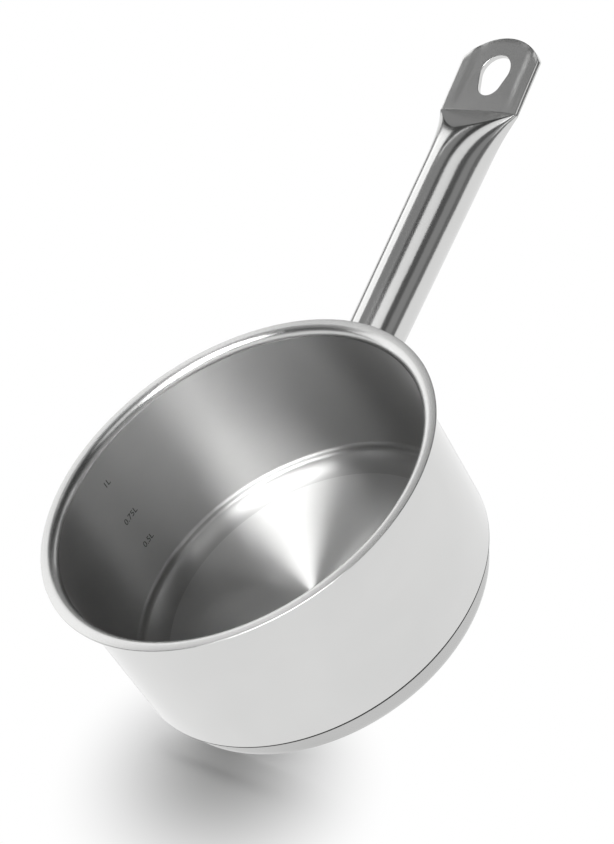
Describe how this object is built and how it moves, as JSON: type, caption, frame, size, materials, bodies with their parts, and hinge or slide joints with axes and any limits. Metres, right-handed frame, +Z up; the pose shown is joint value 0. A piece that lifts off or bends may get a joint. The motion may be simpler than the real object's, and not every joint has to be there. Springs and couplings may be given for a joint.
{
  "type": "milk pan",
  "caption": "Deep round steel pan with an all-round pouring lip, a capsule base and one hollow tube handle flattened to a hanging tab.",
  "frame": {"origin": "centre of the base on the plane that the pan stands on", "axes": "+Z up through the pan's axis, +X along the handle, away from the vessel"},
  "size_m": [0.3174, 0.173, 0.1141],
  "materials": {
    "vessel_steel": "polished outside, spun satin inside",
    "core_aluminium": "plain rolled",
    "cap_steel": "polished side, turned underside",
    "handle_steel": "polished",
    "bracket_steel": "plain pressed",
    "weld_metal": "ground weld"
  },
  "bodies": {
    "root": {"vessel": "vessel_steel", "core_disc": "core_aluminium", "base_cap": "cap_steel", "handle_tube": "handle_steel", "handle_bracket": "bracket_steel", "plug_welds": "weld_metal", "mouth_weld": "weld_metal"}
  },
  "joints": []
}
